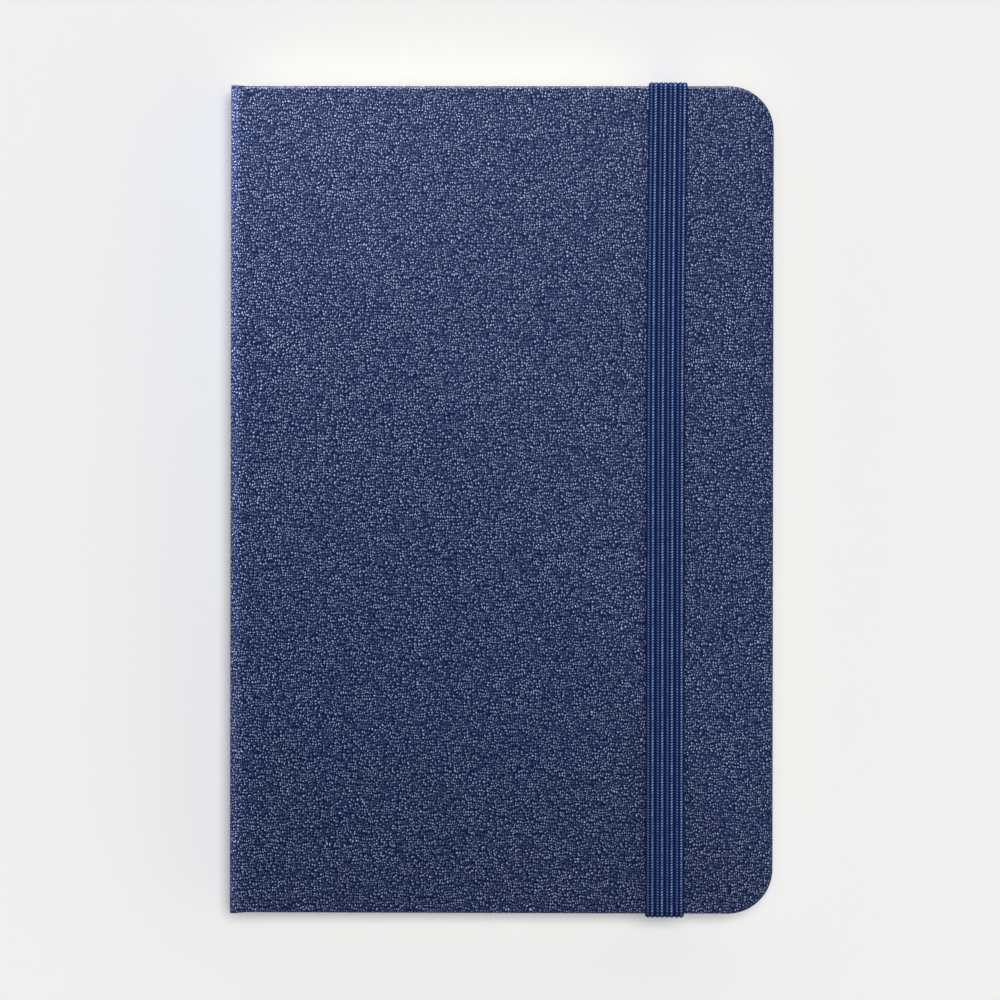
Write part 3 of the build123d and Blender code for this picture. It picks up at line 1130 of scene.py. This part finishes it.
    def middle_section(self) -> None:
        """Models the halves of the middle section and the ruled sheet that lies across its fold."""
        low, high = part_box("signature_06_back_half")
        hinge = next(j for j in frame["joints"] if j["name"] == "middle_fold")
        mid_z = hinge["pos_m"][2]
        leaf = (high.z - low.z) / self.sheets
        fold = Vector((low.x + self.sheets * leaf, 0, mid_z))
        sheets = []
        for k in range(1, self.sheets):
            inner = (k + 0.5) * leaf - self.sheet / 2
            sheets.append(self.folded(f"half_sheet_{k}", fold, high, inner, self.half_turn,
                                      self.fold_steps, False))
        back = join(sheets, "leaves_06_back_half")
        flip = Matrix.Translation((0, 0, 2 * mid_z)) @ Matrix.Scale(-1, 4, (0, 0, 1))
        front = copy_of(back, "leaves_06_front_half", flip)
        front.data.flip_normals()
        self.place(back, "middle_back_half", "signature_06_back_half")
        self.place(front, "middle_front_half", "signature_06_front_half")

        gap = self.spread_gap
        hinge_line = Vector((hinge["pos_m"][0] + gap + self.sheet, 0, mid_z))
        spread = self.folded("middle_sheet", hinge_line, high, gap, math.pi, 2, True)
        lay_out(spread, lambda p, n: (p.x - hinge_line.x, p.y))
        smooth(spread)
        dress(spread, self.ruled)
        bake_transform(spread)
        report(spread)

    def gauze(self, half: str, bodies: list[str]) -> None:
        """Models half of the open cloth over the folds, a strip from each fold to the next.

        Args:
            half: back or front.
            bodies: the sections in order from it, each a step further than the one before.
        """
        node = f"spine_gauze_{half}_half"
        low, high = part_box(node)
        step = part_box("signature_01")[0].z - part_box("signature_02")[0].z
        first = low.z + (step / 2 if half == "back" else 0.0)
        for count, body in enumerate(bodies, start=1):
            bottom = low.z if count == 1 else first + (count - 1) * step
            top = high.z if count == len(bodies) else first + count * step
            strip = self.gauze_strip(f"gauze_{half}_{count}", Vector((low.x, low.y, bottom)),
                                     Vector((high.x, high.y, top)))
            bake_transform(strip)
            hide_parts(node)
            report(strip)

    def gauze_strip(self, name: str, low: Vector, high: Vector) -> Piece:
        """Models a strip of open weave that fills a box."""
        choose()
        size = high - low
        middle = (low + high) / 2
        bpy.ops.mesh.primitive_grid_add(
            x_subdivisions=1, y_subdivisions=round(size.y / self.mesh_pitch), size=1,
            location=middle, rotation=(0, math.pi / 2, 0))
        cloth = finish_primitive(name)
        with editing(cloth, Element.FACE):
            bpy.ops.mesh.select_all(action="SELECT")
            bpy.ops.transform.resize(value=(1, size.y - self.strand, size.z - self.strand),
                                     center_override=middle)
        apply_modifier(cloth, "WIREFRAME", thickness=self.strand, use_boundary=True)
        smooth(cloth)
        dress(cloth, self.cloth)
        return cloth


@dataclass
class PackedPieces:
    """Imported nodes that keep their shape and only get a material."""

    board: Material
    endpaper: Material
    thread: Material

    def build(self) -> None:
        """Gives each node its material by the words in its name."""
        words = {"board": self.board, "stiffener": self.board, "pastedown": self.endpaper,
                 "flyleaf": self.endpaper, "stitches": self.thread}
        for name, node in frame["nodes"].items():
            found = [material for word, material in words.items() if word in name]
            if not found or node.hide_render:
                continue
            for slot in node.material_slots:
                slot.link = "OBJECT"
                slot.material = found[0]
            log.info("%s keeps its shape", name)


# ---- the studio -----------------------------------------------------------------------------------------
class Reach(Enum):
    """Whether a light shines on the stated pieces alone, or on all but them."""

    ONLY = "INCLUDE"
    ALL_BUT = "EXCLUDE"


@dataclass
class Studio:
    """Pale table, soft lights, and a camera above the closed book."""

    case: list[Piece]
    width: float = 169.1 * MM
    lens: float = 200.0
    aside: tuple[float, float] = (-0.19 * MM, -0.07 * MM)
    tilt: float = 1.0
    roll: float = 0.10
    sensor: float = 36.0
    table_size: float = 3.0
    table_drop: float = 0.02 * MM
    ceiling: tuple[float, ...] = (0.45, 0.9, 0.60, 0.03)
    spine_wall: tuple[float, ...] = (-0.9, -0.1, 0.50, 1.0)
    floor: tuple[float, ...] = (-0.25, 0.0, 0.15, 1.0)

    def table(self) -> Piece:
        """Lays the table just under the book."""
        choose()
        bpy.ops.mesh.primitive_plane_add(size=self.table_size,
                                         location=(0, 0, cad_bounds[0].z - self.table_drop))
        top = finish_primitive("table_top")
        top.data.materials.append(Ground().material())
        top.visible_glossy = False
        return top

    def light(self, name: str, kind: str, place: tuple[float, float, float], power: float,
              reach: Reach, pieces: list[Piece], **settings: float) -> None:
        """Adds a soft light that faces the book.

        Args:
            name: the light's name.
            kind: SUN or AREA.
            place: where it hangs, in metres.
            power: its strength.
            reach: whether it shines on the pieces alone, or on all but them.
            pieces: the pieces.
            **settings: the light's size or angle.
        """
        lamp = bpy.data.lights.new(name, kind)
        lamp.energy = power
        for key, value in settings.items():
            setattr(lamp, key, value)
        holder = bpy.data.objects.new(name, lamp)
        bpy.context.scene.collection.objects.link(holder)
        holder.location = place
        holder.rotation_euler = (-Vector(place)).to_track_quat("-Z", "Y").to_euler()
        linked = bpy.data.collections.new(name + "_receivers")
        for piece in pieces:
            linked.objects.link(piece)
        for member in linked.collection_objects:
            member.light_linking.link_state = reach.value
        holder.light_linking.receiver_collection = linked

    def surroundings(self) -> None:
        """Makes a pale room that is dimmer overhead, beyond the spine and below the table."""
        world = bpy.data.worlds.new("studio")
        world.use_nodes = True
        graph = Graph(world.node_tree)
        across, _, up = graph.add("SeparateXYZ", {0: graph.add("TexCoord").outputs["Generated"]}).outputs
        wall = graph.maths("MULTIPLY", graph.ramp(up, *self.ceiling), graph.ramp(across, *self.spine_wall))
        strength = graph.maths("MULTIPLY", wall, graph.ramp(up, *self.floor))
        graph.feed(world.node_tree.nodes["Background"], {"Strength": strength, "Color": (1, 1, 1, 1)})
        bpy.context.scene.world = world

    def camera(self) -> None:
        """Sets the camera above the book, nearly square to it."""
        lens = bpy.data.cameras.new("camera")
        lens.lens = self.lens
        lens.sensor_width = self.sensor
        holder = bpy.data.objects.new("camera", lens)
        bpy.context.scene.collection.objects.link(holder)
        turn = Matrix.Rotation(math.radians(self.tilt), 4, "Y")
        middle = Vector((*self.aside, cad_bounds[1].z))
        distance = self.width * self.lens / lens.sensor_width
        spin = Matrix.Rotation(math.radians(self.roll), 4, "Z")
        holder.matrix_world = Matrix.Translation(middle) @ turn @ Matrix.Translation((0, 0, distance)) @ spin
        bpy.context.scene.camera = holder

    def build(self) -> None:
        """Sets up the whole studio."""
        bpy.context.scene.view_settings.view_transform = "Standard"
        self.surroundings()
        table = [self.table()]
        self.light("table_light", "SUN", (0.09, 0.09, 1.0), 2.49, Reach.ONLY, table, angle=math.radians(18))
        self.light("key_light", "AREA", (-0.08, 0.80, 0.48), 10.1, Reach.ALL_BUT, table, size=0.34)
        self.light("front_light", "AREA", (0.45, -0.30, 0.45), 0.5, Reach.ALL_BUT, table, size=0.5)
        self.light("spine_light", "AREA", (-0.16, 0.16, 0.022), 0.75, Reach.ONLY, self.case, size=0.04)
        self.camera()


def main() -> None:
    """Builds every piece in order."""
    logging.basicConfig(level=logging.INFO, format="%(name)s: %(message)s")
    groups = Groups(pebble_grain(), fibre_mottle())
    Studio(Covering(CaseSizes(), Leatherette().material(groups)).build()).build()
    Elastic(WovenElastic().material(groups)).build()
    paper = Fibrous("page_paper", (0.72, 0.68, 0.58), (0.82, 0.78, 0.68)).material(groups)
    cloth = Fibrous("binding_gauze", (0.62, 0.58, 0.48), (0.78, 0.74, 0.64), 1.0, 0.08).material(groups)
    PageBlock(paper, RuledPaper().material(groups), cloth).build()
    board = Fibrous("grey_board", (0.17, 0.15, 0.125), (0.30, 0.27, 0.23), 2.0, 0.25,
                    0.03 * MM).material(groups)
    endpaper = Fibrous("endpaper", (0.76, 0.72, 0.62), (0.84, 0.80, 0.70)).material(groups)
    thread = Fibrous("linen_thread", (0.70, 0.66, 0.56), (0.86, 0.83, 0.74), 0.6, 0.07).material(groups)
    PackedPieces(board, endpaper, thread).build()


if __name__ == "__main__":
    main()
